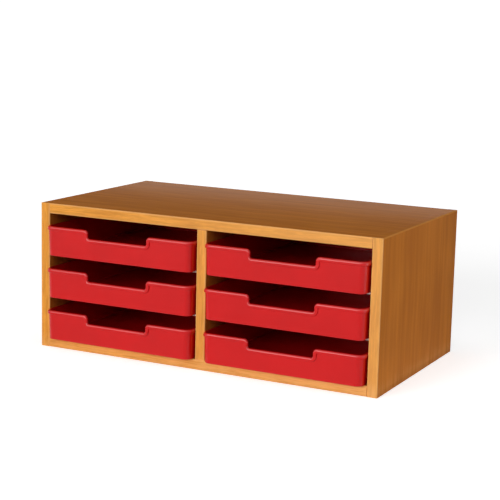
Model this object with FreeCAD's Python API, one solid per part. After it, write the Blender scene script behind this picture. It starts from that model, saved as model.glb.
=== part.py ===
import FreeCAD, Part
import os

# Table-top tray unit: a board carcass with two columns of three slide-in trays.
# Origin at the centre of the underside, +X to the right, +Y to the back, +Z up, in mm.
# The carcass is built round the trays, so its outside follows from the sizes below.

# Columns from left to right, rows from the base upwards
column_names = ("left", "right")
row_names = ("bottom", "middle", "top")

# Moulded tray, measured over its rim
tray_width = 291.0
tray_depth = 355.0
tray_height = 52.0
tray_wall = 2.2
tray_floor = 2.5
tray_draft = 1.2            # how far each wall leans in from rim to underside
tray_corner_radius = 14.0   # rim corner, seen from above
tray_sharpest_corner = 0.5  # least radius left at a corner inside the rim
tray_base_round = 1.2       # between walls and underside
tray_inner_round = 1.5      # between walls and floor
rim_height = 7.0
rim_overhang = 2.0
rim_round = 3.5

# Hand notch in the front of each tray
notch_width = 116.0
notch_depth = 15.0
notch_top_round = 7.0
notch_bottom_round = 3.0

# Room round each tray in its bay
tray_side_clearance = 1.0
tray_headroom = 19.5
tray_rear_clearance = 1.0
tray_proud = 17.0           # how far the rim stands in front of the carcass

# Boards and their edging
board_thickness = 18.0
edging_thickness = 2.0
edging_round = 1.6

# Thin shelves housed in the sides and the divider
shelf_thickness = 3.0
shelf_setback = 9.0
shelf_housing_depth = 4.0

# Back sheet housed in the sides, the top and the base
back_thickness = 4.0
back_inset = 10.0
back_housing_depth = 6.0

# Slack of a sheet in its housing, across the sheet and at its ends
housing_slack = 0.2
housing_end_slack = 0.5

# Glued dowels at the butt joints of the carcass
dowel_diameter = 8.0
dowel_length = 35.0
dowel_cover = 6.0           # board left behind a dowel hole in a face
dowel_end_room = 1.0
dowel_inset = 45.0
dowels_per_joint = 3

# Distance below which two points count as one
touch = 1e-6

# Sizes that follow
bay_width = tray_width + 2 * tray_side_clearance
bay_height = tray_height + tray_headroom
carcass_width = len(column_names) * bay_width + (len(column_names) + 1) * board_thickness
inner_height = len(row_names) * bay_height + (len(row_names) - 1) * shelf_thickness
carcass_height = inner_height + 2 * board_thickness
carcass_depth = tray_depth - tray_proud + tray_rear_clearance + back_thickness + back_inset
dowel_depth_in_face = board_thickness - dowel_cover - dowel_end_room
front_wall_reach = rim_overhang + tray_draft + tray_wall

# Places that follow
outer_x = carcass_width / 2
inner_x = outer_x - board_thickness
divider_x = board_thickness / 2
front_y = -carcass_depth / 2
rear_y = carcass_depth / 2
board_front_y = front_y + edging_thickness
board_rear_y = rear_y - edging_thickness
back_y = rear_y - back_inset - back_thickness
base_top_z = board_thickness
top_under_z = carcass_height - board_thickness

along_x = FreeCAD.Vector(1, 0, 0)
along_y = FreeCAD.Vector(0, 1, 0)
along_z = FreeCAD.Vector(0, 0, 1)


def block(x_ends, y_ends, z_ends):
    """Solid box between two places on each axis, given in either order."""
    x0, x1 = sorted(x_ends)
    y0, y1 = sorted(y_ends)
    z0, z1 = sorted(z_ends)
    return Part.makeBox(x1 - x0, y1 - y0, z1 - z0, FreeCAD.Vector(x0, y0, z0))


def round_edges(solid, radius, direction, where):
    """Round the straight edges along a direction whose middle passes a test."""
    edges = []
    for edge in solid.Edges:
        start = edge.firstVertex().Point
        end = edge.lastVertex().Point
        run = (end - start).normalize()
        if run.cross(direction).Length < touch and where((start + end) / 2):
            edges.append(edge)
    return solid.makeFillet(radius, edges)


# Places that repeat

def bay_left_x(column):
    """Left side of a column of bays."""
    return -inner_x + column * (bay_width + board_thickness)


def bay_floor_z(row):
    """Surface that the trays of a row stand on."""
    return base_top_z + row * (bay_height + shelf_thickness)


def side_ends_x(side):
    """Inner and outer face of a side panel: side is -1 on the left, 1 on the right."""
    return side * inner_x, side * outer_x


def level_ends_z(level):
    """Lower and upper face of the base or the top board."""
    if level == "base":
        return 0, base_top_z
    return top_under_z, carcass_height


# Dowels, and with room at their ends, the holes that they sit in

def pin_row(joint_x, joint_z, direction, room):
    """Round pins from front to back across a joint, pointing from face to end grain."""
    first_y = board_front_y + dowel_inset
    last_y = back_y - dowel_inset
    step = (last_y - first_y) / (dowels_per_joint - 1)
    pins = []
    for i in range(dowels_per_joint):
        joint = FreeCAD.Vector(joint_x, first_y + i * step, joint_z)
        start = joint - direction * (dowel_depth_in_face + room)
        pins.append(Part.makeCylinder(dowel_diameter / 2, dowel_length + 2 * room, start, direction))
    return Part.makeCompound(pins)


def side_joint_pins(side, level, room=0):
    """Pins between a side panel and the base or the top."""
    middle_z = sum(level_ends_z(level)) / 2
    return pin_row(side * inner_x, middle_z, along_x * -side, room)


def divider_joint_pins(level, room=0):
    """Pins between the divider and the base or the top."""
    if level == "base":
        return pin_row(0, base_top_z, along_z, room)
    return pin_row(0, top_under_z, along_z * -1, room)


# Sheets, and with slack, the housings that they sit in

def shelf_sheet(column, row, reach, slack=0):
    """Sheet under a row of bays: reach is how far it enters the boards at its sides."""
    left_x = bay_left_x(column)
    top_z = bay_floor_z(row)
    return block((left_x - reach, left_x + bay_width + reach),
                 (front_y + shelf_setback, back_y),
                 (top_z - shelf_thickness, top_z + slack))


def shelf(column, row):
    """Thin shelf, standing on the lower faces of its housings."""
    return shelf_sheet(column, row, shelf_housing_depth - housing_end_slack)


def shelf_housings():
    """Slots for every shelf."""
    slots = []
    for column in range(len(column_names)):
        for row in range(1, len(row_names)):
            slots.append(shelf_sheet(column, row, shelf_housing_depth, housing_slack))
    return slots


def back_sheet(reach, slack=0):
    """Back sheet: reach is how far it enters the boards all round."""
    return block((-inner_x - reach, inner_x + reach),
                 (back_y, back_y + back_thickness + slack),
                 (base_top_z - reach, top_under_z + reach))


def back_panel():
    """Back sheet against the front faces of its housings."""
    return back_sheet(back_housing_depth - housing_end_slack)


def back_housing():
    """Slot for the back sheet in the four outer boards."""
    return back_sheet(back_housing_depth, housing_slack)


# Boards

def side_panel(side):
    """Full-height side board, cut for shelves, back sheet and dowels."""
    board = block(side_ends_x(side), (board_front_y, board_rear_y), (0, carcass_height - edging_thickness))
    holes = [side_joint_pins(side, level, dowel_end_room) for level in ("base", "top")]
    return board.cut(shelf_housings() + [back_housing()] + holes)


def level_panel(level):
    """Base or top board between the side panels."""
    board = block((-inner_x, inner_x), (board_front_y, board_rear_y), level_ends_z(level))
    holes = [side_joint_pins(side, level, dowel_end_room) for side in (-1, 1)]
    holes.append(divider_joint_pins(level, dowel_end_room))
    return board.cut([back_housing()] + holes)


def centre_divider():
    """Upright board between the two columns, from base to top."""
    board = block((-divider_x, divider_x), (board_front_y, back_y), (base_top_z, top_under_z))
    holes = [divider_joint_pins(level, dowel_end_room) for level in ("base", "top")]
    return board.cut(shelf_housings() + holes)


# Edging strips, with their outer long arrises rounded

def upright_edging(x_ends, z_ends, outer_y, inner_y):
    """Upright strip on the front or rear edge of a board."""
    strip = block(x_ends, (outer_y, inner_y), z_ends)
    return round_edges(strip, edging_round, along_z, lambda p: abs(p.y - outer_y) < touch)


def level_edging(level, outer_y, inner_y):
    """Level strip on the front or rear edge of the base or the top."""
    strip = block((-inner_x, inner_x), (outer_y, inner_y), level_ends_z(level))
    return round_edges(strip, edging_round, along_x, lambda p: abs(p.y - outer_y) < touch)


def side_top_edging(side):
    """Strip along the top edge of a side panel, flush with the top panel, its outer arris rounded."""
    strip = block(side_ends_x(side), (board_front_y, board_rear_y),
                  (carcass_height - edging_thickness, carcass_height))
    return round_edges(strip, edging_round, along_y,
                       lambda p: abs(p.z - carcass_height) < touch and abs(p.x) > outer_x - touch)


# Tray, in its own frame: middle of its width at x 0, front of the rim at y 0, underside at z 0

def tray_outline(inset, z):
    """Rounded outline of the tray at a height, the inset measured in from the rim."""
    radius = max(tray_corner_radius - inset, tray_sharpest_corner)
    side_x = tray_width / 2 - inset - radius
    near_y = inset + radius
    far_y = tray_depth - inset - radius
    centres = ((side_x, far_y), (-side_x, far_y), (-side_x, near_y), (side_x, near_y))
    arcs = []
    for quarter, (x, y) in enumerate(centres):
        start = 90 * quarter
        arcs.append(Part.makeCircle(radius, FreeCAD.Vector(x, y, z), along_z, start, start + 90))
    edges = []
    for i, arc in enumerate(arcs):
        following = arcs[(i + 1) % len(arcs)]
        edges.append(arc)
        edges.append(Part.makeLine(arc.lastVertex().Point, following.firstVertex().Point))
    return Part.Wire(edges)


def wall_inset(z):
    """How far the outside of the wall lies in from the rim at a height."""
    return rim_overhang + tray_draft * (1 - z / tray_height)


def drafted_block(foot_z, wall, foot_round):
    """Block with the tray's draft from foot_z up, wall inside its outer face, its foot rounded."""
    low = tray_outline(wall_inset(foot_z) + wall, foot_z)
    high = tray_outline(wall_inset(tray_height) + wall, tray_height)
    solid = Part.makeLoft([low, high], True, True)
    foot = [edge for edge in solid.Edges if edge.BoundBox.ZMax < foot_z + touch]
    return solid.makeFillet(foot_round, foot)


def rim_band():
    """Thickened band along the top of the four walls."""
    outline = Part.Face(tray_outline(0, tray_height - rim_height))
    return outline.extrude(along_z * rim_height)


def notch_band():
    """Thickened band that follows the notch below the straight rim."""
    half = notch_width / 2 + rim_height
    low_z = tray_height - notch_depth - rim_height
    band = block((-half, half), (0, front_wall_reach), (low_z, tray_height - rim_height))
    return round_edges(band, notch_bottom_round + rim_height, along_y, lambda p: abs(p.z - low_z) < touch)


def notch_flare(side):
    """Space that rounds off a top corner of the notch."""
    edge_x = side * notch_width / 2
    far_x = edge_x + side * notch_top_round
    low_z = tray_height - notch_top_round
    corner = block((edge_x, far_x), (-rim_overhang, front_wall_reach), (low_z, tray_height + rim_height))
    centre = FreeCAD.Vector(far_x, -rim_overhang, low_z)
    shoulder = Part.makeCylinder(notch_top_round, front_wall_reach + rim_overhang, centre, along_y)
    return corner.cut(shoulder)


def notch_space():
    """Space of the hand notch, run out above the rim and through the front wall."""
    half = notch_width / 2
    low_z = tray_height - notch_depth
    middle = block((-half, half), (-rim_overhang, front_wall_reach), (low_z, tray_height + rim_height))
    middle = round_edges(middle, notch_bottom_round, along_y, lambda p: abs(p.z - low_z) < touch)
    return middle.fuse([notch_flare(-1), notch_flare(1)]).removeSplitter()


def round_rim(solid):
    """Round the outer top edge of the rim all the way round, the notch included."""
    notch = notch_space()
    arrises = []
    for edge in solid.Edges:
        middle = edge.valueAt((edge.FirstParameter + edge.LastParameter) / 2)
        point = Part.Vertex(middle)
        on_outline = tray_outline(0, middle.z).distToShape(point)[0] < touch
        on_top = abs(middle.z - tray_height) < touch
        on_notch = notch.distToShape(point)[0] < touch
        if on_outline and (on_top or on_notch):
            arrises.append(edge)
    return solid.makeFillet(rim_round, arrises)


def moulded_tray():
    """One tray as it comes out of the mould."""
    outside = drafted_block(0, 0, tray_base_round)
    inside = drafted_block(tray_floor, tray_wall, tray_inner_round)
    solid = outside.fuse([rim_band(), notch_band()])
    solid = solid.cut([inside, notch_space()]).removeSplitter()
    return round_rim(solid)


def tray_in_bay(tray, column, row):
    """Copy of the tray in its bay."""
    middle_x = bay_left_x(column) + bay_width / 2
    return tray.translated(FreeCAD.Vector(middle_x, front_y - tray_proud, bay_floor_z(row)))


# Named pieces

def side_nodes():
    """Side panels with their edging and dowels."""
    nodes = {}
    full_height = (0, carcass_height)
    for side, name in zip((-1, 1), column_names):
        ends_x = side_ends_x(side)
        nodes[f"{name}_side_panel"] = side_panel(side)
        nodes[f"{name}_side_top_edging"] = side_top_edging(side)
        nodes[f"{name}_side_front_edging"] = upright_edging(ends_x, full_height, front_y, board_front_y)
        nodes[f"{name}_side_rear_edging"] = upright_edging(ends_x, full_height, rear_y, board_rear_y)
        for level in ("base", "top"):
            nodes[f"{level}_{name}_dowels"] = side_joint_pins(side, level)
    return nodes


def middle_nodes():
    """Base, top, divider and back with their edging and dowels."""
    nodes = {"centre_divider": centre_divider(), "back_panel": back_panel()}
    nodes["divider_front_edging"] = upright_edging((-divider_x, divider_x), (base_top_z, top_under_z),
                                                   front_y, board_front_y)
    for level in ("base", "top"):
        nodes[f"{level}_panel"] = level_panel(level)
        nodes[f"{level}_front_edging"] = level_edging(level, front_y, board_front_y)
        nodes[f"{level}_rear_edging"] = level_edging(level, rear_y, board_rear_y)
        nodes[f"divider_{level}_dowels"] = divider_joint_pins(level)
    return nodes


def bay_nodes():
    """Shelves and trays."""
    nodes = {}
    tray = moulded_tray()
    for column, column_name in enumerate(column_names):
        for row, row_name in enumerate(row_names):
            nodes[f"tray_{column_name}_{row_name}"] = tray_in_bay(tray, column, row)
            if row > 0:
                nodes[f"shelf_{column_name}_{row_name}"] = shelf(column, row)
    return nodes


os.makedirs("parts", exist_ok=True)
for node_name, shape in {**side_nodes(), **middle_nodes(), **bay_nodes()}.items():
    shape.exportStep(f"parts/{node_name}.step")
    print(node_name, len(shape.Solids), "solids", round(shape.Volume / 1000, 1), "cm3", shape.isValid())
print("carcass", carcass_width, "x", carcass_depth, "x", carcass_height)
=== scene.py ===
"""Looks of a table-top tray unit: board carcass, edging, thin shelves and moulded trays.

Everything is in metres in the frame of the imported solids: +X right, +Y back, +Z up, with the
origin at the centre of the carcass underside.
"""

import logging
import math
from dataclasses import dataclass, field
from enum import Enum
from typing import Any, Callable, Optional, Union

import bpy
from mathutils import Matrix, Vector


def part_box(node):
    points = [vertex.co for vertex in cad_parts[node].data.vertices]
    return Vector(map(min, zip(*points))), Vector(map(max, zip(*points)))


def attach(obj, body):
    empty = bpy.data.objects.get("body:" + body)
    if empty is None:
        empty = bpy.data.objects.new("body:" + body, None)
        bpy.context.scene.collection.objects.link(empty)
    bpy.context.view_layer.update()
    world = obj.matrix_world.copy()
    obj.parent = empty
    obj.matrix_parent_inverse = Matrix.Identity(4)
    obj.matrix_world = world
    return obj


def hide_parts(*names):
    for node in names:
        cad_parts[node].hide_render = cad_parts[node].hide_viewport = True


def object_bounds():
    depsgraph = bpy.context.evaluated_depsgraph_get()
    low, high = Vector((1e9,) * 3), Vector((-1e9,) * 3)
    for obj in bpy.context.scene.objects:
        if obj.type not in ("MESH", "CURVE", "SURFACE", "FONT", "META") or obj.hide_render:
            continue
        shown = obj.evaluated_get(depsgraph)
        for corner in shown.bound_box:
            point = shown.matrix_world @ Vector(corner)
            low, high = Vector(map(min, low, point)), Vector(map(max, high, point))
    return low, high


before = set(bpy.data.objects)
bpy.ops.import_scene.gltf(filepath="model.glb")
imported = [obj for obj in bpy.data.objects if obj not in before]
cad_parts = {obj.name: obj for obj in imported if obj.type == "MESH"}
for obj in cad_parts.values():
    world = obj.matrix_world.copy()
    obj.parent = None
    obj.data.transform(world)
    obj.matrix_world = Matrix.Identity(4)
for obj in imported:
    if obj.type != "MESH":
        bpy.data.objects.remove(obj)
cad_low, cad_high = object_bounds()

log = logging.getLogger("tray_unit")

MM = 0.001

# Tolerances of the edge tests and of the clean-up, in metres, and the last one in degrees
TOUCH = 1e-6
NEAR = 10 * TOUCH
WELD = 0.01 * MM
FLAT_ANGLE = 0.2

ARRIS_STEPS = 2
NOISE_MEAN = 0.5
COLUMNS = ("left", "right")
LEVELS = ("base", "top")
ROWS = ("bottom", "middle", "top")
CARCASS = "carcass"
MILLED = "milled"

Piece = bpy.types.Object
Material = bpy.types.Material
Colour = tuple[float, float, float]
# The values at which a smooth step starts and is full
Span = tuple[float, float]
Term = Union["Signal", float]
EdgeTest = Callable[[Vector, Vector], bool]


# Shader maths


class Signal:
    """A shader socket that takes part in Python arithmetic."""

    def __init__(self, tree: "ShaderTree", socket: bpy.types.NodeSocket) -> None:
        """Keep the tree that new nodes go to and the socket that carries the value."""
        self.tree = tree
        self.socket = socket

    def maths(self, operation: str, first: Term, second: Term) -> "Signal":
        """Add a Math node for two terms."""
        return self.tree.node("ShaderNodeMath", {"operation": operation}, {0: first, 1: second})

    def __add__(self, other: Term) -> "Signal":
        """Sum."""
        return self.maths("ADD", self, other)

    def __radd__(self, other: float) -> "Signal":
        """Sum with a number on the left."""
        return self.maths("ADD", other, self)

    def __sub__(self, other: Term) -> "Signal":
        """Difference."""
        return self.maths("SUBTRACT", self, other)

    def __rsub__(self, other: float) -> "Signal":
        """Difference from a number on the left."""
        return self.maths("SUBTRACT", other, self)

    def __mul__(self, other: Term) -> "Signal":
        """Product."""
        return self.maths("MULTIPLY", self, other)

    def __rmul__(self, other: float) -> "Signal":
        """Product with a number on the left."""
        return self.maths("MULTIPLY", other, self)

    def __mod__(self, other: Term) -> "Signal":
        """Remainder that stays positive below zero."""
        return self.maths("FLOORED_MODULO", self, other)

    def __rmod__(self, other: float) -> "Signal":
        """Remainder of a number on the left."""
        return self.maths("FLOORED_MODULO", other, self)

    def ramp(self, low: float, high: float) -> "Signal":
        """Rise smoothly from 0 at low to 1 at high, or fall where low is the larger."""
        values = {"Value": self, "From Min": low, "From Max": high}
        return self.tree.node("ShaderNodeMapRange", {"interpolation_type": "SMOOTHSTEP"}, values)


class ShaderTree:
    """Node tree of one material or of the world, emptied before use."""

    def __init__(self, graph: bpy.types.NodeTree) -> None:
        """Empty the tree."""
        graph.nodes.clear()
        self.graph = graph

    @classmethod
    def for_material(cls, name: str) -> tuple["ShaderTree", Material]:
        """Make a new material and the tree to fill.

        Args:
            name: name of the material.

        Returns:
            The empty tree and its material.
        """
        material = bpy.data.materials.new(name)
        material.use_nodes = True
        return cls(material.node_tree), material

    def node(self, kind: str, settings: Optional[dict[str, Any]] = None,
             inputs: Optional[dict[Union[str, int], Any]] = None, output: Union[str, int] = 0) -> Signal:
        """Add one node of any kind.

        Args:
            kind: Blender's name of the node type.
            settings: properties of the node, set before its sockets.
            inputs: numbers, colours or signals for sockets, by name or place.
            output: socket that the result reads.

        Returns:
            The signal of that output.
        """
        made = self.graph.nodes.new(kind)
        for name, value in (settings or {}).items():
            setattr(made, name, value)
        for name, value in (inputs or {}).items():
            if isinstance(value, Signal):
                self.graph.links.new(value.socket, made.inputs[name])
            else:
                made.inputs[name].default_value = value
        return Signal(self, made.outputs[output])

    def place(self) -> Signal:
        """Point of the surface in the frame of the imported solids."""
        return self.node("ShaderNodeTexCoord", output="Object")

    def mark(self, name: str) -> Signal:
        """Value noted on the points of a mesh, zero on a mesh without it."""
        return self.node("ShaderNodeAttribute", {"attribute_name": name}, output="Fac")

    def axis(self, place: Signal, name: str) -> Signal:
        """One coordinate of a point."""
        return self.node("ShaderNodeSeparateXYZ", {}, {0: place}, output=name)

    def scaled(self, place: Signal, factors: Vector) -> Signal:
        """Point with each coordinate multiplied by its own factor."""
        return self.node("ShaderNodeVectorMath", {"operation": "MULTIPLY"}, {0: place, 1: factors})

    def warped(self, place: Signal, size: float, reach: float) -> Signal:
        """Point that drifts by up to reach metres over patches of size metres.

        Args:
            place: point of the surface.
            size: width of a patch in metres.
            reach: farthest drift in metres.

        Returns:
            The moved point.
        """
        sockets = {"Vector": place, "Scale": 1 / size, "Detail": 1.0}
        drift = self.node("ShaderNodeTexNoise", {}, sockets, output="Color")
        centred = self.node("ShaderNodeVectorMath", {"operation": "SUBTRACT"},
                            {0: drift, 1: (NOISE_MEAN,) * 3})
        return self.node("ShaderNodeVectorMath", {"operation": "MULTIPLY_ADD"},
                         {0: centred, 1: (2 * reach,) * 3, 2: place})

    def noise(self, place: Signal, size: float, detail: float = 3.0, rough: float = 0.55) -> Signal:
        """Soft noise from 0 to 1 whose patches are about size metres wide."""
        sockets = {"Vector": place, "Scale": 1 / size, "Detail": detail, "Roughness": rough}
        return self.node("ShaderNodeTexNoise", {}, sockets)

    def drawn(self, place: Signal, grain: "Grain", stretch: float, size: float, detail: float = 2.0,
              rough: float = 0.55) -> Signal:
        """Noise drawn out along a grain, in patches size metres wide and stretch times as long."""
        return self.noise(self.scaled(place, grain.stretched(stretch)), size, detail, rough)

    def blend(self, factor: Term, first: Union[Signal, Colour], second: Union[Signal, Colour]) -> Signal:
        """Mix two colours, whose sockets go by place because the node has other sockets of their names.

        Args:
            factor: share of the second colour.
            first: colour at 0.
            second: colour at 1.

        Returns:
            The mixed colour.
        """
        ends = [end if isinstance(end, Signal) else (*end, 1.0) for end in (first, second)]
        sockets = {0: factor, 6: ends[0], 7: ends[1]}
        return self.node("ShaderNodeMix", {"data_type": "RGBA"}, sockets, output=2)

    def bump(self, height: Signal, depth: float, strength: float = 1.0) -> Signal:
        """Surface normal of a height from 0 to 1 that stands for depth metres."""
        return self.node("ShaderNodeBump", {}, {"Height": height, "Distance": depth, "Strength": strength},
                         output="Normal")

    def surface(self, **sockets: Any) -> None:
        """Close the tree with a Principled shader and the material output.

        Args:
            sockets: values or signals, by socket name with underscores for spaces.
        """
        named = {name.replace("_", " "): value for name, value in sockets.items()}
        shader = self.node("ShaderNodeBsdfPrincipled", {}, named)
        self.node_output("ShaderNodeOutputMaterial", shader)

    def node_output(self, kind: str, shader: Signal) -> None:
        """Send a shader to the tree's output."""
        made = self.graph.nodes.new(kind)
        self.graph.links.new(shader.socket, made.inputs["Surface"])


# Finishes


class Grain(Enum):
    """Axis that the printed grain of a board or strip runs along."""

    ACROSS = 0
    DEEP = 1
    UPRIGHT = 2

    def stretched(self, factor: float) -> Vector:
        """Coordinate factors that draw a pattern out along the grain.

        Args:
            factor: length of a patch over its width.

        Returns:
            One factor for each axis.
        """
        factors = Vector((1.0, 1.0, 1.0))
        factors[self.value] = 1 / factor
        return factors


@dataclass(frozen=True)
class BeechPrint:
    """Printed beech decor under a satin film: fine streaks, broader bands, patches of figure and pores.

    The bands, the patches and the drift of the grain are sized in streak widths. The colour is painted
    paler near the floor, a painted reflection and bounce of the white floor, and paler towards the right of
    the unit, a painted sheen.
    """

    name: str
    pale: Colour
    deep: Colour
    fleck: Colour
    milled: Colour = (0.80, 0.42, 0.15)
    milled_cover: float = 0.5
    # Painted light: a share of paler colour towards the right of the unit for a painted sheen, and one near
    # the floor, broken up by the streaks, for painted floor reflection and bounce
    right_sheen: float = 0.0
    floor_light: float = 0.2
    floor_light_top: float = 30 * MM
    floor_light_full: float = 6 * MM
    streak_span: Span = (0.3, 0.6)
    streak_width: float = 9 * MM
    streak_stretch: float = 24.0
    coarse: float = 0.5
    band_widths: float = 4.0
    band_stretch: float = 14.0
    band_share: float = 0.45
    figure: float = 0.1
    figure_widths: float = 9.0
    figure_stretch: float = 2.5
    drift_widths: float = 14.0
    drift_reach: float = 0.7
    tone_span: Span = (0.36, 0.68)
    pore_width: float = 0.9 * MM
    pore_stretch: float = 14.0
    pore_depth: float = 0.04 * MM
    pore_span: Span = (0.60, 0.70)
    fleck_span: Span = (0.35, 0.65)
    fleck_cover: float = 0.55
    roughness: float = 0.4
    plain_matt: float = 0.85
    streak_matt: float = 0.3
    fleck_matt: float = 0.2
    gloss: float = 0.01

    def material(self, grain: Grain) -> Material:
        """Decor whose grain runs along one axis.

        Args:
            grain: axis of the grain.

        Returns:
            The new material.
        """
        tree, material = ShaderTree.for_material(f"{self.name}_{grain.name.lower()}")
        width = self.streak_width
        place = tree.warped(tree.place(), width * self.drift_widths, width * self.drift_reach)
        bands = tree.drawn(place, grain, self.band_stretch, width * self.band_widths)
        streaks = tree.drawn(place, grain, self.streak_stretch, width, detail=3.0, rough=self.coarse)
        pores = tree.drawn(place, grain, self.pore_stretch, self.pore_width)
        flecks = pores.ramp(*self.pore_span) * streaks.ramp(*self.fleck_span)
        patches = tree.drawn(place, grain, self.figure_stretch, width * self.figure_widths)
        lines = self.band_share * bands + (1 - self.band_share) * streaks
        tone = (self.figure * patches + (1 - self.figure) * lines).ramp(*self.tone_span)
        colour = tree.blend(tone, self.deep, self.pale)
        colour = tree.blend(self.fleck_cover * flecks, colour, self.fleck)
        # Painted light: paler near the floor for the floor's reflection and bounce, and paler towards the
        # right for a sheen, both mixed towards the milled colour
        near_floor = tree.axis(place, "Z").ramp(self.floor_light_top, self.floor_light_full)
        sheen_to_right = tree.axis(place, "X").ramp(cad_low.x, cad_high.x)
        painted_paleness = self.floor_light * near_floor * streaks.ramp(*self.streak_span) + self.right_sheen * sheen_to_right
        colour = tree.blend(painted_paleness + (self.milled_cover - painted_paleness) * tree.mark(MILLED), colour, self.milled)
        matt = self.plain_matt + self.streak_matt * streaks + self.fleck_matt * flecks
        tree.surface(
            Base_Color=colour,
            Roughness=self.roughness * matt,
            Specular_IOR_Level=self.gloss,
            Normal=tree.bump(1.0 - flecks, self.pore_depth),
        )
        return material


@dataclass(frozen=True)
class MouldedPlastic:
    """Semi-gloss moulded plastic with a fine texture, scuffed low down and polished on its rounds."""

    name: str
    colour: Colour
    worn: Colour
    floor_z: float
    pitch: float
    cloud_size: float = 60 * MM
    cloud_span: Span = (0.3, 0.7)
    cloud_matt: float = 0.08
    shaded: float = 0.93
    texture_size: float = 0.5 * MM
    texture_depth: float = 0.02 * MM
    texture_strength: float = 0.6
    rub_width: float = 0.8 * MM
    rub_stretch: float = 30.0
    streak_span: Span = (0.5, 0.7)
    scuff_height: float = 3 * MM
    scuff_cover: float = 0.35
    scuff_matt: float = 0.15
    round_from: Span = (0.04, 0.15)
    round_until: Span = (0.95, 0.80)
    round_matt: float = 0.3
    roughness: float = 0.24
    gloss: float = 0.25
    polish: float = 0.38

    def material(self) -> Material:
        """Plastic for every tray: heights repeat from row to row.

        Returns:
            The new material.
        """
        tree, material = ShaderTree.for_material(self.name)
        place = tree.place()
        height = (tree.axis(place, "Z") - self.floor_z) % self.pitch
        cloud = tree.noise(place, self.cloud_size)
        texture = tree.noise(place, self.texture_size, detail=2.0)
        rubs = tree.drawn(place, Grain.DEEP, self.rub_stretch, self.rub_width)
        scuffed = height.ramp(self.scuff_height, 0.0) * rubs.ramp(*self.streak_span)
        upward = tree.axis(tree.node("ShaderNodeNewGeometry", output="Normal"), "Z")
        polished = upward.ramp(*self.round_from) * upward.ramp(*self.round_until)
        shade = tuple(self.shaded * part for part in self.colour)
        colour = tree.blend(cloud.ramp(*self.cloud_span), shade, self.colour)
        colour = tree.blend(self.scuff_cover * scuffed, colour, self.worn)
        matt = self.cloud_matt * (cloud - NOISE_MEAN) + self.scuff_matt * scuffed
        tree.surface(
            Base_Color=colour,
            Roughness=self.roughness + matt + self.round_matt * polished,
            Specular_IOR_Level=self.gloss,
            Coat_Weight=polished,
            Coat_Roughness=self.polish,
            Normal=tree.bump(texture, self.texture_depth, self.texture_strength),
        )
        return material


@dataclass(frozen=True)
class PaleSheet:
    """Off-white faced sheet with a faint speckle."""

    name: str
    colour: Colour
    speck: Colour
    speck_size: float = 1.2 * MM
    speck_span: Span = (0.58, 0.70)
    speck_depth: float = 0.02 * MM
    speck_cover: float = 0.4
    rub_width: float = 2 * MM
    rub_stretch: float = 60.0
    streak_span: Span = (0.52, 0.72)
    rub_cover: float = 0.25
    rub_matt: float = 0.12
    roughness: float = 0.45

    def material(self) -> Material:
        """Sheet finish, rubbed along the way that the trays slide.

        Returns:
            The new material.
        """
        tree, material = ShaderTree.for_material(self.name)
        place = tree.place()
        specks = tree.noise(place, self.speck_size, detail=2.0).ramp(*self.speck_span)
        streaks = tree.drawn(place, Grain.DEEP, self.rub_stretch, self.rub_width, detail=3.0)
        rubs = streaks.ramp(*self.streak_span)
        colour = tree.blend(self.speck_cover * specks, self.colour, self.speck)
        colour = tree.blend(self.rub_cover * rubs, colour, self.speck)
        tree.surface(
            Base_Color=colour,
            Roughness=self.roughness + self.rub_matt * rubs,
            Normal=tree.bump(specks, self.speck_depth),
        )
        return material


@dataclass(frozen=True)
class Hardboard:
    """Pressed-fibre back sheet: plain brown fibre with darker chips."""

    name: str
    colour: Colour
    fibre: Colour
    cloud_size: float = 45 * MM
    cloud_share: float = 0.15
    fibre_width: float = 1.4 * MM
    fibre_stretch: float = 3.0
    fibre_coarse: float = 0.65
    fibre_depth: float = 0.05 * MM
    fibre_matt: float = 0.1
    tone_span: Span = (0.35, 0.65)
    roughness: float = 0.62
    gloss: float = 0.2

    def material(self) -> Material:
        """Fibre finish of the back sheet.

        Returns:
            The new material.
        """
        tree, material = ShaderTree.for_material(self.name)
        place = tree.place()
        cloud = tree.noise(place, self.cloud_size, detail=4.0)
        fibres = tree.drawn(place, Grain.UPRIGHT, self.fibre_stretch, self.fibre_width, detail=3.0,
                            rough=self.fibre_coarse)
        tone = (self.cloud_share * cloud + (1 - self.cloud_share) * fibres).ramp(*self.tone_span)
        colour = tree.blend(tone, self.fibre, self.colour)
        tree.surface(
            Base_Color=colour,
            Roughness=self.roughness + self.fibre_matt * (fibres - NOISE_MEAN),
            Specular_IOR_Level=self.gloss,
            Normal=tree.bump(fibres, self.fibre_depth),
        )
        return material


# Modelling by hand


class Merge(Enum):
    """What another solid does to a piece."""

    ADD = "UNION"
    CUT = "DIFFERENCE"


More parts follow.
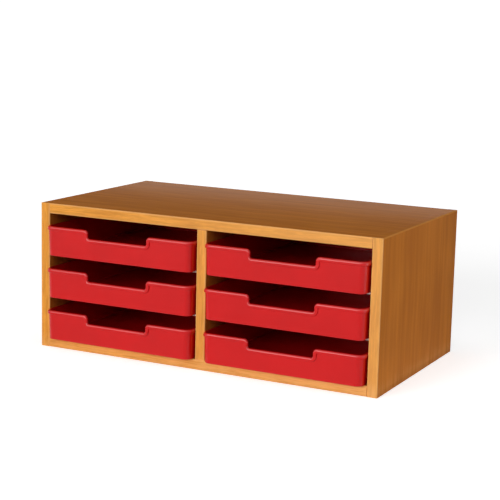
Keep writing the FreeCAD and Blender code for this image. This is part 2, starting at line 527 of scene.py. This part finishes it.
class Bench:
    """Operators that shape one piece at a time."""

    @staticmethod
    def clear_selection() -> None:
        """Leave edit mode and deselect everything."""
        if bpy.context.mode != "OBJECT":
            bpy.ops.object.mode_set(mode="OBJECT")
        bpy.ops.object.select_all(action="DESELECT")

    @staticmethod
    def take(piece: Piece) -> None:
        """Make a piece the only selected and the active one.

        Args:
            piece: object to work on.
        """
        Bench.clear_selection()
        piece.select_set(True)
        bpy.context.view_layer.objects.active = piece

    @staticmethod
    def block(name: str, low: Vector, high: Vector) -> Piece:
        """Start a piece as a box between two corners, its place in its mesh.

        Args:
            name: name of the piece.
            low: lowest corner.
            high: highest corner.

        Returns:
            The box.
        """
        Bench.clear_selection()
        bpy.ops.mesh.primitive_cube_add(size=1.0, location=(low + high) / 2, scale=high - low)
        piece = bpy.context.active_object
        piece.name = name
        bpy.ops.object.transform_apply(location=True, rotation=True, scale=True)
        return piece

    @staticmethod
    def pick_edges(piece: Piece, test: EdgeTest) -> None:
        """Select the edges whose two ends pass a test, and stay in edit mode.

        Args:
            piece: object to work on.
            test: says whether two ends make an edge to select.
        """
        Bench.take(piece)
        bpy.ops.object.mode_set(mode="EDIT")
        bpy.ops.mesh.select_mode(type="EDGE")
        bpy.ops.mesh.select_all(action="DESELECT")
        bpy.ops.object.mode_set(mode="OBJECT")
        corners = piece.data.vertices
        for edge in piece.data.edges:
            edge.select = test(corners[edge.vertices[0]].co, corners[edge.vertices[1]].co)
        bpy.ops.object.mode_set(mode="EDIT")

    @staticmethod
    def round_edges(piece: Piece, test: EdgeTest, radius: float, steps: int, fullness: float = 0.5) -> None:
        """Round the edges that pass a test.

        Args:
            piece: object to work on.
            test: says whether two ends make an edge to round.
            radius: radius of the round.
            steps: faces across the round.
            fullness: one half for a true arc, more for a squarer round.
        """
        Bench.pick_edges(piece, test)
        bpy.ops.mesh.bevel(offset=radius, offset_type="OFFSET", segments=steps, profile=fullness,
                           affect="EDGES", clamp_overlap=False)
        bpy.ops.object.mode_set(mode="OBJECT")

    @staticmethod
    def merge(piece: Piece, tool: Piece, how: Merge) -> None:
        """Add another solid to a piece or cut it away, and use the other solid up.

        Args:
            piece: object to work on.
            tool: the other solid.
            how: whether it is added or cut away.
        """
        Bench.take(piece)
        boolean = piece.modifiers.new("merge", "BOOLEAN")
        boolean.operation = how.value
        boolean.solver = "EXACT"
        boolean.object = tool
        bpy.ops.object.modifier_apply(modifier=boolean.name)
        bpy.data.objects.remove(tool, do_unlink=True)

    @staticmethod
    def cut_off(piece: Piece, point: Vector, outward: Vector) -> None:
        """Take away what lies beyond a plane and close the cut.

        Args:
            piece: object to work on.
            point: point of the plane.
            outward: direction of what goes.
        """
        Bench.take(piece)
        bpy.ops.object.mode_set(mode="EDIT")
        bpy.ops.mesh.select_all(action="SELECT")
        bpy.ops.mesh.bisect(plane_co=point, plane_no=outward, clear_outer=True, use_fill=True)
        bpy.ops.object.mode_set(mode="OBJECT")

    @staticmethod
    def tidy(piece: Piece) -> None:
        """Weld double points and drop the edges inside flat faces.

        Args:
            piece: object to work on.
        """
        Bench.take(piece)
        bpy.ops.object.mode_set(mode="EDIT")
        bpy.ops.mesh.select_all(action="SELECT")
        bpy.ops.mesh.remove_doubles(threshold=WELD)
        bpy.ops.mesh.dissolve_limited(angle_limit=math.radians(FLAT_ANGLE))
        bpy.ops.mesh.normals_make_consistent(inside=False)
        bpy.ops.object.mode_set(mode="OBJECT")

    @staticmethod
    def soften(piece: Piece, arris: float, sharp_above: float = 35.0) -> None:
        """Break the arrises that are still sharp and shade the rounds smooth.

        Args:
            piece: object to work on.
            arris: width of the broken arris.
            sharp_above: degrees between faces that count as sharp.
        """
        Bench.take(piece)
        bevel = piece.modifiers.new("arris", "BEVEL")
        bevel.width = arris
        bevel.segments = ARRIS_STEPS
        bevel.limit_method = "ANGLE"
        bevel.angle_limit = math.radians(sharp_above)
        bevel.use_clamp_overlap = False
        bpy.ops.object.modifier_apply(modifier=bevel.name)
        bpy.ops.object.shade_smooth_by_angle(angle=math.radians(sharp_above))
        weighted = piece.modifiers.new("flat_faces", "WEIGHTED_NORMAL")
        weighted.keep_sharp = True
        bpy.ops.object.modifier_apply(modifier=weighted.name)

    @staticmethod
    def copy_to(piece: Piece, name: str, shift: Vector) -> Piece:
        """Copy a piece with a mesh of its own and set its place in that mesh.

        Args:
            piece: object to copy.
            name: name of the copy.
            shift: way from the piece to its copy.

        Returns:
            The copy.
        """
        Bench.take(piece)
        bpy.ops.object.duplicate(linked=False)
        copy = bpy.context.active_object
        copy.name = name
        bpy.ops.transform.translate(value=shift)
        bpy.ops.object.transform_apply(location=True, rotation=True, scale=True)
        return copy

    @staticmethod
    def copies(first: Piece, nodes: list[str], suffix: str) -> list[Piece]:
        """Copy the first node's piece to the places of the other nodes.

        Args:
            first: piece that fits the first node.
            nodes: nodes of one shape.
            suffix: ending of the copies' names.

        Returns:
            One piece for each node.
        """
        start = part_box(nodes[0])[0]
        pieces = [first]
        for node in nodes[1:]:
            pieces.append(Bench.copy_to(first, f"{node}_{suffix}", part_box(node)[0] - start))
        return pieces

    @staticmethod
    def seat(piece: Piece, node: str, body: str, slot: str, material: Material) -> None:
        """Dress a piece, let it stand for a node and ride on that node's body.

        Args:
            piece: object to work on.
            node: node that it replaces.
            body: body that it rides on.
            slot: name of its finish slot; not used.
            material: its finish.
        """
        piece.data.materials.clear()
        piece.data.materials.append(material)
        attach(piece, body)
        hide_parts(node)
        log.info("%s: %d faces for node %s on body %s", piece.name, len(piece.data.polygons), node, body)


# Sub-assemblies


@dataclass
class Carcass:
    """Boards, back sheet and dowels, which keep their solids and get their finish here."""

    upright: BeechPrint
    level: BeechPrint
    back: Hardboard
    dowel: BeechPrint
    across: Material = field(init=False)

    def dress(self) -> None:
        """Give each board the grain direction it was cut with."""
        upright = self.upright.material(Grain.UPRIGHT)
        self.across = self.level.material(Grain.ACROSS)
        for name in ("left_side_panel", "right_side_panel", "centre_divider"):
            self.coat(name, upright)
        for level in LEVELS:
            self.coat(f"{level}_panel", self.across)
        self.coat("back_panel", self.back.material())
        pins = {grain: self.dowel.material(grain) for grain in (Grain.ACROSS, Grain.UPRIGHT)}
        for level in LEVELS:
            self.coat(f"divider_{level}_dowels", pins[Grain.UPRIGHT])
            for side in COLUMNS:
                self.coat(f"{level}_{side}_dowels", pins[Grain.ACROSS])

    @staticmethod
    def coat(node: str, material: Material) -> None:
        """Put a material on a node's own object.

        Args:
            node: name of the node.
            material: its finish.
        """
        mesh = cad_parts[node].data
        mesh.materials.clear()
        mesh.materials.append(material)
        log.info("%s keeps its solid, finish %s", node, material.name)


class BoardEdge(Enum):
    """Edge of a board that a strip covers."""

    FRONT = "front"
    REAR = "rear"
    UPPER = "upper"


@dataclass
class Edging:
    """Strips glued to the front, rear and upper edges of the boards."""

    front: BeechPrint
    rear: BeechPrint
    upper: Material
    outer_round: float = 1.6 * MM
    milled_fade: float = 1.2 * MM
    round_steps: int = 5
    arris: float = 0.3 * MM

    def build(self) -> None:
        """Make each kind of strip and copy it to its boards."""
        for edge, finish in ((BoardEdge.FRONT, self.front), (BoardEdge.REAR, self.rear)):
            upright = finish.material(Grain.UPRIGHT)
            across = finish.material(Grain.ACROSS)
            sides = [f"{side}_side_{edge.value}_edging" for side in COLUMNS]
            levels = [f"{level}_{edge.value}_edging" for level in LEVELS]
            self.set_of(sides, Grain.UPRIGHT, edge, upright)
            self.set_of(levels, Grain.ACROSS, edge, across)
            if edge is BoardEdge.FRONT:
                self.set_of(["divider_front_edging"], Grain.UPRIGHT, edge, upright)
        for side in COLUMNS:
            self.set_of([f"{side}_side_top_edging"], Grain.DEEP, BoardEdge.UPPER, self.upper)

    def set_of(self, nodes: list[str], run: Grain, edge: BoardEdge, material: Material) -> None:
        """Model one strip and copy it for the nodes of the same shape.

        Args:
            nodes: edging nodes of one size.
            run: axis that the strips run along.
            edge: edge of the board that they cover.
            material: printed decor of the strips.
        """
        low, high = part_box(nodes[0])
        first = self.strip(f"{nodes[0]}_strip", low, high, run, edge)
        for node, piece in zip(nodes, Bench.copies(first, nodes, "strip")):
            Bench.seat(piece, node, CARCASS, "beech_edging", material)

    def strip(self, name: str, low: Vector, high: Vector, run: Grain, edge: BoardEdge) -> Piece:
        """One strip with its long arrises rounded, an upper one only on the outside of the unit.

        Args:
            name: name of the piece.
            low: lowest corner.
            high: highest corner.
            run: axis that the strip runs along.
            edge: edge of the board that it covers.

        Returns:
            The finished strip.
        """
        outer_faces = {
            BoardEdge.FRONT: (1, low.y),
            BoardEdge.REAR: (1, high.y),
            BoardEdge.UPPER: (2, high.z),
        }
        axis, outer = outer_faces[edge]
        middle_x = abs(low.x + high.x) / 2

        def free(point: Vector) -> bool:
            """Point on a side of the strip that no board lies flush with."""
            return edge is not BoardEdge.UPPER or abs(point.x) > middle_x

        def on_outer_flat(a: Vector, b: Vector) -> bool:
            """Edge on the outer face."""
            return abs(a[axis] - outer) < TOUCH and abs(b[axis] - outer) < TOUCH

        def on_outer_arris(a: Vector, b: Vector) -> bool:
            """Long edge on the outer face that is rounded."""
            return on_outer_flat(a, b) and abs(a[run.value] - b[run.value]) > TOUCH and free(a)

        piece = Bench.block(name, low, high)
        Bench.round_edges(piece, on_outer_arris, self.outer_round, self.round_steps)
        Bench.pick_edges(piece, on_outer_flat)
        bpy.ops.mesh.select_mode(type="FACE")
        bpy.ops.mesh.inset(thickness=self.milled_fade)
        Bench.soften(piece, self.arris)
        # The axes are 0, 1 and 2, so the one that is left brings their sum to 3.
        across = 3 - axis - run.value
        mark = piece.data.attributes.new(MILLED, "FLOAT", "POINT")
        for point, note in zip(piece.data.vertices, mark.data):
            inward = min(point.co[across] - low[across], high[across] - point.co[across])
            note.value = float(inward < self.outer_round + TOUCH and free(point.co))
        return piece


@dataclass
class Shelves:
    """Thin sheets housed in the sides and the divider, under the upper trays."""

    finish: PaleSheet
    front_round: float = 0.9 * MM
    round_steps: int = 4
    arris: float = 0.2 * MM

    def build(self) -> None:
        """Model one shelf and copy it to the others."""
        nodes = [f"shelf_{column}_{row}" for column in COLUMNS for row in ROWS[1:]]
        material = self.finish.material()
        low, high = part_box(nodes[0])
        first = self.shelf(f"{nodes[0]}_sheet", low, high)
        for node, piece in zip(nodes, Bench.copies(first, nodes, "sheet")):
            Bench.seat(piece, node, CARCASS, "pale_sheet", material)

    def shelf(self, name: str, low: Vector, high: Vector) -> Piece:
        """One sheet with its front edge rounded.

        Args:
            name: name of the piece.
            low: lowest corner.
            high: highest corner.

        Returns:
            The finished shelf.
        """
        piece = Bench.block(name, low, high)

        def on_front(a: Vector, b: Vector) -> bool:
            """Long edge at the front of the sheet."""
            return abs(a.y - low.y) < TOUCH and abs(b.y - low.y) < TOUCH and abs(a.x - b.x) > TOUCH

        Bench.round_edges(piece, on_front, self.front_round, self.round_steps)
        Bench.soften(piece, self.arris)
        return piece


@dataclass
class Trays:
    """Six moulded trays with a thick rim, rounded corners and a hand notch in the front."""

    finish: MouldedPlastic
    wall: float = 2.2 * MM
    floor: float = 2.5 * MM
    draft: float = 1.2 * MM
    corner: float = 14 * MM
    base_round: float = 1.2 * MM
    inner_round: float = 1.5 * MM
    rim_height: float = 7 * MM
    rim_overhang: float = 2.0 * MM
    rim_round: float = 3.5 * MM
    rim_steps: int = 8
    rim_fullness: float = 0.55
    lip_round: float = 1.2 * MM
    notch_width: float = 116 * MM
    notch_depth: float = 15 * MM
    notch_top_round: float = 7 * MM
    notch_top_steps: int = 8
    notch_bottom_round: float = 3 * MM
    arris: float = 0.45 * MM
    corner_steps: int = 12
    round_steps: int = 5
    clear: float = 8 * MM
    # Corners of the tray that is modelled
    low: Vector = field(init=False)
    high: Vector = field(init=False)

    def build(self) -> None:
        """Model one tray and copy it into every bay."""
        nodes = [f"tray_{column}_{row}" for column in COLUMNS for row in ROWS]
        material = self.finish.material()
        self.low, self.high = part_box(nodes[0])
        first = self.tray(f"{nodes[0]}_moulding")
        for node, piece in zip(nodes, Bench.copies(first, nodes, "moulding")):
            Bench.seat(piece, node, node, "red_moulding", material)

    def tray(self, name: str) -> Piece:
        """Shape one tray: outside, rim and notch lip, then inside, notch and rounds.

        Args:
            name: name of the piece.

        Returns:
            The finished tray.
        """
        piece = self.drafted_block(name, self.low.z, 0.0, self.base_round)
        Bench.merge(piece, self.rim(), Merge.ADD)
        hollow = self.drafted_block("hollow", self.low.z + self.floor, self.wall, self.inner_round)
        self.raise_top(hollow)
        Bench.merge(piece, hollow, Merge.CUT)
        Bench.merge(piece, self.notch_block(), Merge.CUT)
        Bench.tidy(piece)
        Bench.round_edges(piece, self.at_notch_top, self.notch_top_round, self.notch_top_steps)
        Bench.round_edges(piece, self.at_notch_bottom, self.notch_bottom_round, self.round_steps)
        Bench.round_edges(piece, self.on_rim_arris, self.rim_round, self.rim_steps, self.rim_fullness)
        Bench.soften(piece, self.arris)
        return piece

    def drafted_block(self, name: str, foot_z: float, wall: float, foot_round: float) -> Piece:
        """Block with rounded corners whose sides lean in towards a rounded foot.

        Args:
            name: name of the piece.
            foot_z: height of the foot.
            wall: distance inside the outer face.
            foot_round: radius along the foot.

        Returns:
            The block, up to the top of the rim.
        """
        inset = self.rim_overhang + wall
        low = Vector((self.low.x + inset, self.low.y + inset, foot_z))
        high = Vector((self.high.x - inset, self.high.y - inset, self.high.z))
        piece = Bench.block(name, low, high)
        Bench.round_edges(piece, upright_edge, self.corner - inset, self.corner_steps)
        lean = self.draft * (high.z - foot_z) / (self.high.z - self.low.z)
        size = high - low
        shrink = (1 - 2 * lean / size.x, 1 - 2 * lean / size.y, 1.0)

        def on_foot(a: Vector, b: Vector) -> bool:
            """Edge of the foot."""
            return max(a.z, b.z) < foot_z + TOUCH

        Bench.pick_edges(piece, on_foot)
        middle = (low + high) / 2
        bpy.ops.transform.resize(value=shrink, center_override=middle)
        Bench.round_edges(piece, on_foot, foot_round, self.round_steps)
        return piece

    def rim(self) -> Piece:
        """Thick band along the top of the walls, with the lip that follows the notch.

        Returns:
            The rim, not yet hollow.
        """
        low = Vector((self.low.x, self.low.y, self.high.z - self.rim_height))
        piece = Bench.block("rim", low, self.high)
        Bench.round_edges(piece, upright_edge, self.corner, self.corner_steps)

        def on_underside(a: Vector, b: Vector) -> bool:
            """Edge of the underside."""
            return max(a.z, b.z) < low.z + TOUCH

        Bench.round_edges(piece, on_underside, self.lip_round, self.round_steps)
        Bench.merge(piece, self.notch_lip(), Merge.ADD)
        Bench.tidy(piece)
        return piece

    def notch_sides(self, margin: float) -> tuple[float, float]:
        """Left and right side of the notch, moved out by a margin.

        Args:
            margin: distance to move each side out.

        Returns:
            The two places on the X axis.
        """
        middle = (self.low.x + self.high.x) / 2
        reach = self.notch_width / 2 + margin
        return middle - reach, middle + reach

    def wall_back_y(self) -> float:
        """Inner face of the front wall at its foot."""
        return self.low.y + self.rim_overhang + self.draft + self.wall

    def notch_lip(self) -> Piece:
        """Thick lip that carries the rim round the notch.

        It starts as a bar of the rim's own length, so that the two fronts lie exactly in one plane.

        Returns:
            The lip, with the notch not yet cut.
        """
        left, right = self.notch_sides(self.rim_height)
        low_z = self.high.z - self.notch_depth - self.rim_height
        low = Vector((left, self.low.y, low_z))
        high = Vector((right, self.high.y, self.high.z - self.rim_height / 2))
        piece = Bench.block("notch_lip", low, high)
        Bench.cut_off(piece, Vector((left, self.wall_back_y(), low_z)), Vector((0, 1, 0)))

        def lower_corner(a: Vector, b: Vector) -> bool:
            """Edge from front to back at the lower corners of the lip."""
            return max(a.z, b.z) < low_z + TOUCH and abs(a.y - b.y) > TOUCH

        def front_outline(a: Vector, b: Vector) -> bool:
            """Edge of the front face, apart from its top."""
            return max(a.y, b.y) < low.y + TOUCH and min(a.z, b.z) < high.z - TOUCH

        Bench.round_edges(piece, lower_corner, self.notch_bottom_round + self.rim_height, self.round_steps)
        Bench.round_edges(piece, front_outline, self.lip_round, self.round_steps)
        return piece

    def notch_block(self) -> Piece:
        """Square block that opens the notch, thicker than the wall and higher than the rim.

        Returns:
            The block.
        """
        left, right = self.notch_sides(0.0)
        low = Vector((left, self.low.y - self.clear, self.high.z - self.notch_depth))
        high = Vector((right, self.wall_back_y() + self.clear, self.high.z + self.clear))
        return Bench.block("notch_block", low, high)

    def raise_top(self, hollow: Piece) -> None:
        """Carry the hollow's top above the rim, so that it cuts clean.

        Args:
            hollow: block that cuts the inside.
        """

        def on_top(a: Vector, b: Vector) -> bool:
            """Edge of the top face."""
            return min(a.z, b.z) > self.high.z - TOUCH

        Bench.pick_edges(hollow, on_top)
        bpy.ops.mesh.select_mode(type="FACE")
        bpy.ops.mesh.extrude_region_move(TRANSFORM_OT_translate={"value": (0, 0, self.clear)})
        bpy.ops.object.mode_set(mode="OBJECT")

    def at_notch_corner(self, a: Vector, b: Vector, z: float) -> bool:
        """Edge from front to back in a corner of the notch at a height.

        Args:
            a: one end of the edge.
            b: the other end.
            z: the height.

        Returns:
            Whether the edge lies there.
        """
        sides = self.notch_sides(0.0)
        beside = min(abs(a.x - side) for side in sides) < TOUCH and abs(a.x - b.x) < TOUCH
        level = abs(a.z - z) < TOUCH and abs(b.z - z) < TOUCH
        return beside and level and abs(a.y - b.y) > TOUCH

    def at_notch_top(self, a: Vector, b: Vector) -> bool:
        """Edge at an upper corner of the notch."""
        return self.at_notch_corner(a, b, self.high.z)

    def at_notch_bottom(self, a: Vector, b: Vector) -> bool:
        """Edge at a lower corner of the notch."""
        return self.at_notch_corner(a, b, self.high.z - self.notch_depth)

    def off_outline(self, point: Vector) -> float:
        """Distance of a point from the rim's outline, seen from above.

        Args:
            point: point of the tray.

        Returns:
            The distance in metres.
        """
        middle = (self.low + self.high) / 2
        half = (self.high - self.low) / 2
        out_x = abs(point.x - middle.x) - half.x + self.corner
        out_y = abs(point.y - middle.y) - half.y + self.corner
        if out_x > 0 and out_y > 0:
            return abs(math.hypot(out_x, out_y) - self.corner)
        return abs(max(out_x, out_y) - self.corner)

    def on_rim_arris(self, a: Vector, b: Vector) -> bool:
        """Outer top edge of the rim, along the notch too.

        Args:
            a: one end of the edge.
            b: the other end.

        Returns:
            Whether the edge is to be rounded.
        """
        depth = self.high.z - min(a.z, b.z)
        on_outline = max(self.off_outline(a), self.off_outline(b)) < NEAR
        at_front = max(a.y, b.y) < self.low.y + TOUCH
        left, right = self.notch_sides(0.0)
        between = min(a.x, b.x) > left - TOUCH and max(a.x, b.x) < right + TOUCH
        in_notch = between and depth < self.notch_depth + TOUCH
        in_flare = self.on_flare(a) and self.on_flare(b)
        return on_outline and (depth < TOUCH or (at_front and (in_flare or in_notch)))

    def on_flare(self, point: Vector) -> bool:
        """Point on the rounds that lead from the rim's top into the notch.

        Args:
            point: point of the tray.

        Returns:
            Whether the point lies there.
        """
        out = abs(point.x - (self.low.x + self.high.x) / 2) - self.notch_width / 2 - self.notch_top_round
        down = self.high.z - point.z - self.notch_top_round
        return max(out, down) < TOUCH and abs(math.hypot(out, down) - self.notch_top_round) < NEAR


def upright_edge(a: Vector, b: Vector) -> bool:
    """Edge that runs straight up."""
    return abs(a.x - b.x) < TOUCH and abs(a.y - b.y) < TOUCH


# Studio and camera


@dataclass(frozen=True)
class SoftBox:
    """Flat lamp that points at a spot, with angles in degrees."""

    name: str
    aim: Vector
    azimuth: float
    elevation: float
    distance: float
    width: float
    height: float
    watts: float

    def build(self) -> None:
        """Hang the lamp in its place."""
        Bench.clear_selection()
        back = direction(self.azimuth, self.elevation)
        bpy.ops.object.light_add(type="AREA", location=self.aim + back * self.distance)
        lamp = bpy.context.active_object
        lamp.name = self.name
        lamp.rotation_mode = "QUATERNION"
        lamp.rotation_quaternion = back.to_track_quat("Z", "Y")
        lamp.data.shape = "RECTANGLE"
        lamp.data.size = self.width
        lamp.data.size_y = self.height
        lamp.data.energy = self.watts
        lamp.visible_camera = False
        log.info("lamp %s", self.name)


class RayKinds:
    """Which rays look at a surface: 1 for the kind, else 0."""

    def __init__(self, tree: ShaderTree) -> None:
        """Read the ray kinds in a tree.

        Args:
            tree: tree that gets the nodes.
        """
        self.camera = tree.node("ShaderNodeLightPath", output="Is Camera Ray")
        reflected = tree.node("ShaderNodeLightPath", output="Is Glossy Ray")
        self.mirrored = reflected + tree.node("ShaderNodeLightPath", output="Is Transmission Ray")


@dataclass
class Studio:
    """Pale floor, soft lamps and a surround that is white where it is seen.

    Glows and light levels are shares of white, and heights in the surround are degrees.
    """

    lamps: list[SoftBox]
    floor_half: float = 400.0
    floor_grey: float = 0.8
    near_glow: float = 0.65
    far_glow: float = 1.0
    near_up_to: float = 0.6
    far_from: float = 3.0
    overhead: float = 0.15
    sides: float = 0.05
    sides_up_to: float = 15.0
    overhead_from: float = 70.0
    horizon_up_to: float = 1.0
    horizon_gone: float = 5.0

    def build(self) -> None:
        """Lay the floor, hang the lamps and light the surround."""
        bpy.context.scene.view_settings.view_transform = "Standard"
        self.lay_floor()
        for lamp in self.lamps:
            lamp.build()
        self.light_surround()

    def light_surround(self) -> None:
        """Dim light from all round, white to the camera, with a pale horizon in reflections."""
        world = bpy.data.worlds.new("surround")
        bpy.context.scene.world = world
        world.use_nodes = True
        tree = ShaderTree(world.node_tree)
        rise = tree.axis(tree.node("ShaderNodeTexCoord", output="Generated"), "Z")
        lift = rise.ramp(sine(self.sides_up_to), sine(self.overhead_from))
        dim = self.sides + (self.overhead - self.sides) * lift
        horizon = rise.ramp(sine(self.horizon_gone), sine(self.horizon_up_to))
        path = RayKinds(tree)
        strength = dim + (1.0 - dim) * (path.camera + path.mirrored * horizon)
        light = tree.node("ShaderNodeBackground", {}, {"Color": (1, 1, 1, 1), "Strength": strength})
        tree.node_output("ShaderNodeOutputWorld", light)

    def lay_floor(self) -> None:
        """White floor that glows a little where it is seen, so that only shadows stay grey."""
        Bench.clear_selection()
        bpy.ops.mesh.primitive_plane_add(size=2 * self.floor_half, location=(0, 0, cad_low.z))
        floor = bpy.context.active_object
        floor.name = "floor"
        tree, material = ShaderTree.for_material("white_floor")
        path = RayKinds(tree)
        seen = path.camera + path.mirrored
        grey = (self.floor_grey,) * 3 + (1.0,)
        paper = tree.node("ShaderNodeBsdfDiffuse", {}, {"Color": grey})
        reach = tree.node("ShaderNodeVectorMath", {"operation": "LENGTH"}, {0: tree.place()},
                          output="Value")
        away = reach.ramp(self.near_up_to, self.far_from)
        strength = seen * (self.near_glow + (self.far_glow - self.near_glow) * away)
        glow = tree.node("ShaderNodeEmission", {}, {"Color": (1, 1, 1, 1), "Strength": strength})
        both = tree.node("ShaderNodeAddShader", {}, {0: paper, 1: glow})
        tree.node_output("ShaderNodeOutputMaterial", both)
        floor.data.materials.append(material)


@dataclass(frozen=True)
class PhotoCamera:
    """Camera at the angle of the photograph, with angles in degrees and lens and sensor in millimetres."""

    target: Vector
    azimuth: float
    elevation: float
    roll: float
    distance: float
    lens: float
    sensor: float = 36.0

    def build(self) -> None:
        """Place the camera and make it the scene's own."""
        Bench.clear_selection()
        back = direction(self.azimuth, self.elevation)
        right = Vector((0, 0, 1)).cross(back).normalized()
        up = back.cross(right)
        turn = math.radians(self.roll)
        tilted_right = right * math.cos(turn) + up * math.sin(turn)
        tilted_up = back.cross(tilted_right)
        bpy.ops.object.camera_add(location=self.target + back * self.distance)
        camera = bpy.context.active_object
        camera.name = "photo_camera"
        camera.rotation_mode = "QUATERNION"
        camera.rotation_quaternion = Matrix((tilted_right, tilted_up, back)).transposed().to_quaternion()
        camera.data.sensor_width = self.sensor
        camera.data.lens = self.lens
        bpy.context.scene.camera = camera


def direction(azimuth: float, elevation: float) -> Vector:
    """Unit vector at an azimuth, from the front towards the right, and an elevation, both in degrees."""
    turn, rise = math.radians(azimuth), math.radians(elevation)
    return Vector((math.sin(turn) * math.cos(rise), -math.cos(turn) * math.cos(rise), math.sin(rise)))


def sine(degrees: float) -> float:
    """Sine of an angle in degrees."""
    return math.sin(math.radians(degrees))


def row_pitch() -> float:
    """Height from one row of trays to the next."""
    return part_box("tray_left_middle")[0].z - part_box("tray_left_bottom")[0].z


def main() -> None:
    """Build every sub-assembly, the studio and the camera."""
    logging.basicConfig(level=logging.INFO, format="%(name)s: %(message)s")
    upright = BeechPrint(
        "beech_board", pale=(0.64, 0.215, 0.028), deep=(0.49, 0.150, 0.017), fleck=(0.43, 0.125, 0.012),
        figure=0.45, gloss=0.006)
    level = BeechPrint(
        "beech_level", pale=(0.64, 0.213, 0.023), deep=(0.50, 0.156, 0.016), fleck=(0.42, 0.120, 0.011),
        milled=(0.82, 0.37, 0.09), streak_width=4.5 * MM, pore_depth=0.01 * MM, roughness=0.145,
        gloss=0.0025)
    # The front strips carry the strongest painted sheen towards the right and the strongest painted floor
    # reflection and bounce near the floor
    front_edge = BeechPrint(
        "beech_edging", pale=(0.85, 0.355, 0.044), deep=(0.57, 0.210, 0.018), fleck=(0.44, 0.13, 0.010),
        right_sheen=0.30, floor_light=0.4, streak_width=1.6 * MM, pore_width=0.5 * MM, coarse=0.65, roughness=0.35,
        gloss=0.2)
    # The rear strips are printed much darker than the front ones, which leaves a dark line along the rear
    # edges
    rear_edge = BeechPrint(
        "rear_edging", pale=(0.42, 0.145, 0.024), deep=(0.33, 0.105, 0.016), fleck=(0.26, 0.08, 0.01),
        milled=(0.40, 0.16, 0.04), streak_width=2.0 * MM, roughness=0.5)
    dowel = BeechPrint(
        "dowel_wood", pale=(0.62, 0.40, 0.20), deep=(0.52, 0.32, 0.15), fleck=(0.40, 0.22, 0.09),
        roughness=0.7)
    back = Hardboard("back_fibre", colour=(0.30, 0.17, 0.08), fibre=(0.20, 0.10, 0.045))
    # The sheet's pink tint and raised brightness are painted: a painted reflection of the red trays and
    # painted light on its front edges, which lie in the trays' shade; the sheet itself is off-white
    sheet = PaleSheet("pale_sheet", colour=(0.88, 0.70, 0.65), speck=(0.70, 0.53, 0.47))
    red = MouldedPlastic(
        "red_moulding", colour=(0.60, 0.004, 0.005), worn=(0.68, 0.08, 0.08),
        floor_z=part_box("tray_left_bottom")[0].z, pitch=row_pitch())

    carcass = Carcass(upright, level, back, dowel)
    carcass.dress()
    Edging(front_edge, rear_edge, carcass.across).build()
    Shelves(sheet).build()
    Trays(red).build()

    centre = Vector((0, 0, cad_high.z / 2))
    near_side = Vector((0.32, -0.17, 0.12))
    top_rear = Vector((-0.33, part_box("top_rear_edging")[1].y, cad_high.z))
    # The two cards lie just above the floor, one in front and one on the right, and face straight up.
    above_front = Vector((0.15, -0.235, 1.0))
    above_side = Vector((0.35, 0.0, 1.0))
    card_drop = 1.0 - 3 * MM
    Studio([
        SoftBox("key_front", centre, azimuth=-19.0, elevation=13.0, distance=9.0,
                width=4.5, height=3.0, watts=530.0),
        SoftBox("fill_front", centre, azimuth=22.0, elevation=25.0, distance=6.0,
                width=2.0, height=2.0, watts=62.0),
        SoftBox("side_right", near_side, azimuth=92.0, elevation=7.0, distance=0.95,
                width=0.5, height=0.5, watts=2.45),
        SoftBox("overhead", centre, azimuth=0.0, elevation=85.0, distance=3.0,
                width=1.5, height=1.5, watts=16.0),
        SoftBox("rear_strip", top_rear, azimuth=180.0, elevation=6.4, distance=0.30,
                width=1.26, height=0.07, watts=0.22),
        SoftBox("floor_card", above_front, azimuth=0.0, elevation=-90.0, distance=card_drop,
                width=0.9, height=0.11, watts=0.02),
        SoftBox("side_card", above_side, azimuth=0.0, elevation=-90.0, distance=card_drop,
                width=0.05, height=0.38, watts=0.018),
    ]).build()
    PhotoCamera(
        target=Vector((0.0254, -0.0485, 0.1883)), azimuth=26.681, elevation=10.395, roll=1.399,
        distance=2.4558, lens=102.56).build()


if __name__ == "__main__":
    main()
